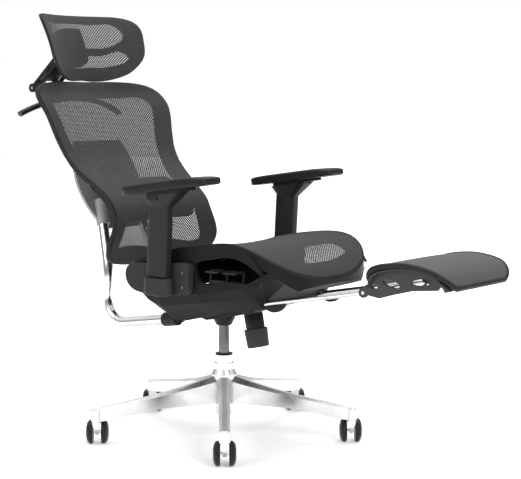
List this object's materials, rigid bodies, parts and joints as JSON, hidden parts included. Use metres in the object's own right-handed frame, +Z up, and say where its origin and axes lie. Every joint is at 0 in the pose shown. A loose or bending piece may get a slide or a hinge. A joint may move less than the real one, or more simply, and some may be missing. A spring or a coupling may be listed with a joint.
{
  "type": "reclining office chair with footrest",
  "caption": "High mesh-backed swivel chair on a star base with casters, reclining back, headrest, adjustable arms and a pull-out footrest.",
  "frame": {"origin": "on the floor, on the axis of the gas column", "axes": "+Z up, -Y the way the sitter faces, +X the sitter's left"},
  "size_m": [0.6908, 1.419, 1.0903],
  "materials": {
    "polished": "polished",
    "steel": "ground",
    "column_black": "satin",
    "cast_black": "satin",
    "plastic": "fine grain",
    "button": "satin",
    "soft_pad": "soft grain",
    "mesh": "open weave",
    "wheel": "satin",
    "cable": "sheath"
  },
  "bodies": {
    "base": {"base_star": "polished", "column_tube": "polished", "column_bush": "plastic", "thrust_bearing": "steel"},
    "caster_1": {"caster_fork_1": "polished"},
    "wheel_a_1": {"caster_wheel_a_1": "wheel"},
    "wheel_b_1": {"caster_wheel_b_1": "wheel"},
    "caster_2": {"caster_fork_2": "polished"},
    "wheel_a_2": {"caster_wheel_a_2": "wheel"},
    "wheel_b_2": {"caster_wheel_b_2": "wheel"},
    "caster_3": {"caster_fork_3": "polished"},
    "wheel_a_3": {"caster_wheel_a_3": "wheel"},
    "wheel_b_3": {"caster_wheel_b_3": "wheel"},
    "caster_4": {"caster_fork_4": "polished"},
    "wheel_a_4": {"caster_wheel_a_4": "wheel"},
    "wheel_b_4": {"caster_wheel_b_4": "wheel"},
    "caster_5": {"caster_fork_5": "polished"},
    "wheel_a_5": {"caster_wheel_a_5": "wheel"},
    "wheel_b_5": {"caster_wheel_b_5": "wheel"},
    "lift_rod": {"piston_rod": "steel"},
    "seat": {"gas_cylinder": "column_black", "mechanism_housing": "cast_black", "tilt_shaft": "steel", "tension_spring": "steel", "seat_pan": "plastic", "seat_frame": "plastic", "seat_mesh": "mesh", "rail_guides": "plastic", "arm_bracket_left": "plastic", "arm_bracket_right": "plastic", "paddle_bracket": "plastic", "control_cables": "cable"},
    "tension_knob": {"tension_knob": "plastic"},
    "back_lever": {"back_yoke": "cast_black", "back_bar": "polished", "spine_plate": "plastic"},
    "backrest": {"back_frame": "plastic", "back_mesh": "mesh", "lumbar_pad": "plastic", "back_carriage": "plastic", "coat_hanger": "plastic", "headrest_arm": "plastic"},
    "headrest_link": {"headrest_link": "plastic", "headrest_pins": "steel"},
    "headrest": {"headrest_frame": "plastic", "headrest_mesh": "mesh"},
    "footrest_slide": {"footrest_rails": "polished", "footrest_pivot": "steel"},
    "footrest": {"footrest_pad": "mesh", "footrest_shell": "plastic"},
    "arm_post_left": {"arm_post_left": "plastic"},
    "arm_button_left": {"arm_button_left": "button"},
    "arm_carrier_left": {"arm_carrier_left": "plastic"},
    "arm_pad_left": {"arm_pad_left": "soft_pad"},
    "arm_post_right": {"arm_post_right": "plastic"},
    "arm_button_right": {"arm_button_right": "button"},
    "arm_carrier_right": {"arm_carrier_right": "plastic"},
    "arm_pad_right": {"arm_pad_right": "soft_pad"},
    "height_paddle": {"height_paddle": "button"},
    "tilt_paddle": {"tilt_paddle": "button"}
  },
  "joints": [
    {"name": "caster_1_swivel", "type": "hinge", "parent": "base", "child": "caster_1", "pos_m": [-0.25739, -0.21598, 0.07], "axis": [0, 0, 1], "continuous": true},
    {"name": "wheel_a_1_spin", "type": "hinge", "parent": "caster_1", "child": "wheel_a_1", "pos_m": [-0.24204, -0.20316, 0.03], "axis": [-0.6408, 0.7677, 0], "continuous": true},
    {"name": "wheel_b_1_spin", "type": "hinge", "parent": "caster_1", "child": "wheel_b_1", "pos_m": [-0.24204, -0.20316, 0.03], "axis": [-0.6408, 0.7677, 0], "continuous": true},
    {"name": "caster_2_swivel", "type": "hinge", "parent": "base", "child": "caster_2", "pos_m": [0.12587, -0.31153, 0.07], "axis": [0, 0, 1], "continuous": true},
    {"name": "wheel_a_2_spin", "type": "hinge", "parent": "caster_2", "child": "wheel_a_2", "pos_m": [0.14122, -0.29872, 0.03], "axis": [-0.6408, 0.7677, 0], "continuous": true},
    {"name": "wheel_b_2_spin", "type": "hinge", "parent": "caster_2", "child": "wheel_b_2", "pos_m": [0.14122, -0.29872, 0.03], "axis": [-0.6408, 0.7677, 0], "continuous": true},
    {"name": "caster_3_swivel", "type": "hinge", "parent": "base", "child": "caster_3", "pos_m": [0.33518, 0.02344, 0.07], "axis": [0, 0, 1], "continuous": true},
    {"name": "wheel_a_3_spin", "type": "hinge", "parent": "caster_3", "child": "wheel_a_3", "pos_m": [0.35054, 0.03625, 0.03], "axis": [-0.6408, 0.7677, 0], "continuous": true},
    {"name": "wheel_b_3_spin", "type": "hinge", "parent": "caster_3", "child": "wheel_b_3", "pos_m": [0.35054, 0.03625, 0.03], "axis": [-0.6408, 0.7677, 0], "continuous": true},
    {"name": "caster_4_swivel", "type": "hinge", "parent": "base", "child": "caster_4", "pos_m": [0.08129, 0.32602, 0.07], "axis": [0, 0, 1], "continuous": true},
    {"name": "wheel_a_4_spin", "type": "hinge", "parent": "caster_4", "child": "wheel_a_4", "pos_m": [0.09664, 0.33883, 0.03], "axis": [-0.6408, 0.7677, 0], "continuous": true},
    {"name": "wheel_b_4_spin", "type": "hinge", "parent": "caster_4", "child": "wheel_b_4", "pos_m": [0.09664, 0.33883, 0.03], "axis": [-0.6408, 0.7677, 0], "continuous": true},
    {"name": "caster_5_swivel", "type": "hinge", "parent": "base", "child": "caster_5", "pos_m": [-0.28494, 0.17805, 0.07], "axis": [0, 0, 1], "continuous": true},
    {"name": "wheel_a_5_spin", "type": "hinge", "parent": "caster_5", "child": "wheel_a_5", "pos_m": [-0.26959, 0.19087, 0.03], "axis": [-0.6408, 0.7677, 0], "continuous": true},
    {"name": "wheel_b_5_spin", "type": "hinge", "parent": "caster_5", "child": "wheel_b_5", "pos_m": [-0.26959, 0.19087, 0.03], "axis": [-0.6408, 0.7677, 0], "continuous": true},
    {"name": "column_swivel", "type": "hinge", "parent": "base", "child": "lift_rod", "pos_m": [0, 0, 0.06], "axis": [0, 0, 1], "continuous": true},
    {"name": "seat_height", "type": "slide", "parent": "lift_rod", "child": "seat", "axis": [0, 0, 1], "range_m": [-0.058, 0.027]},
    {"name": "tension_knob_turn", "type": "hinge", "parent": "seat", "child": "tension_knob", "pos_m": [0, -0.097, 0.322], "axis": [0, 0.2028, 0.9792], "range_deg": [-360, 360]},
    {"name": "recline", "type": "hinge", "parent": "seat", "child": "back_lever", "pos_m": [0, 0.045, 0.34], "axis": [1, 0, 0], "range_deg": [0, 20]},
    {"name": "back_height", "type": "slide", "parent": "back_lever", "child": "backrest", "axis": [0, 0.3859, 0.9225], "range_m": [0, 0.05]},
    {"name": "headrest_raise", "type": "hinge", "parent": "backrest", "child": "headrest_link", "pos_m": [0, 0.655, 0.893], "axis": [1, 0, 0], "range_deg": [-30, 0]},
    {"name": "headrest_tilt", "type": "hinge", "parent": "headrest_link", "child": "headrest", "pos_m": [0, 0.57, 0.966], "axis": [1, 0, 0], "range_deg": [-25, 0]},
    {"name": "footrest_slide", "type": "slide", "parent": "seat", "child": "footrest_slide", "axis": [0, -0.9839, 0.1788], "range_m": [-0.11, 0]},
    {"name": "footrest_flip", "type": "hinge", "parent": "footrest_slide", "child": "footrest", "pos_m": [0, -0.51809, 0.42803], "axis": [1, 0, 0], "range_deg": [0, 160]},
    {"name": "arm_height_left", "type": "slide", "parent": "seat", "child": "arm_post_left", "axis": [0, -0.061, 0.9981], "range_m": [0, 0.07]},
    {"name": "arm_button_left_press", "type": "slide", "parent": "arm_post_left", "child": "arm_button_left", "axis": [-1, 0, 0], "range_m": [0, 0.003], "stiffness_N_per_m": 600, "springref_m": -0.001},
    {"name": "arm_turn_left", "type": "hinge", "parent": "arm_post_left", "child": "arm_carrier_left", "pos_m": [0.25, -0.06975, 0.65162], "axis": [0, 0.1392, 0.9903], "range_deg": [-20, 15]},
    {"name": "arm_pad_left_slide", "type": "slide", "parent": "arm_carrier_left", "child": "arm_pad_left", "axis": [0, -0.9903, 0.1392], "range_m": [-0.025, 0.025]},
    {"name": "arm_height_right", "type": "slide", "parent": "seat", "child": "arm_post_right", "axis": [0, -0.061, 0.9981], "range_m": [0, 0.07]},
    {"name": "arm_button_right_press", "type": "slide", "parent": "arm_post_right", "child": "arm_button_right", "axis": [1, 0, 0], "range_m": [0, 0.003], "stiffness_N_per_m": 600, "springref_m": -0.001},
    {"name": "arm_turn_right", "type": "hinge", "parent": "arm_post_right", "child": "arm_carrier_right", "pos_m": [-0.25, -0.06975, 0.65162], "axis": [0, -0.1392, -0.9903], "range_deg": [-20, 15]},
    {"name": "arm_pad_right_slide", "type": "slide", "parent": "arm_carrier_right", "child": "arm_pad_right", "axis": [0, -0.9903, 0.1392], "range_m": [-0.025, 0.025]},
    {"name": "height_paddle_lift", "type": "hinge", "parent": "seat", "child": "height_paddle", "pos_m": [-0.196, -0.205, 0.456], "axis": [0, 1, 0], "range_deg": [0, 15], "stiffness_Nm_per_rad": 0.25, "springref_deg": -5.73},
    {"name": "tilt_paddle_lift", "type": "hinge", "parent": "seat", "child": "tilt_paddle", "pos_m": [-0.196, -0.15, 0.456], "axis": [0, 1, 0], "range_deg": [0, 15]}
  ]
}
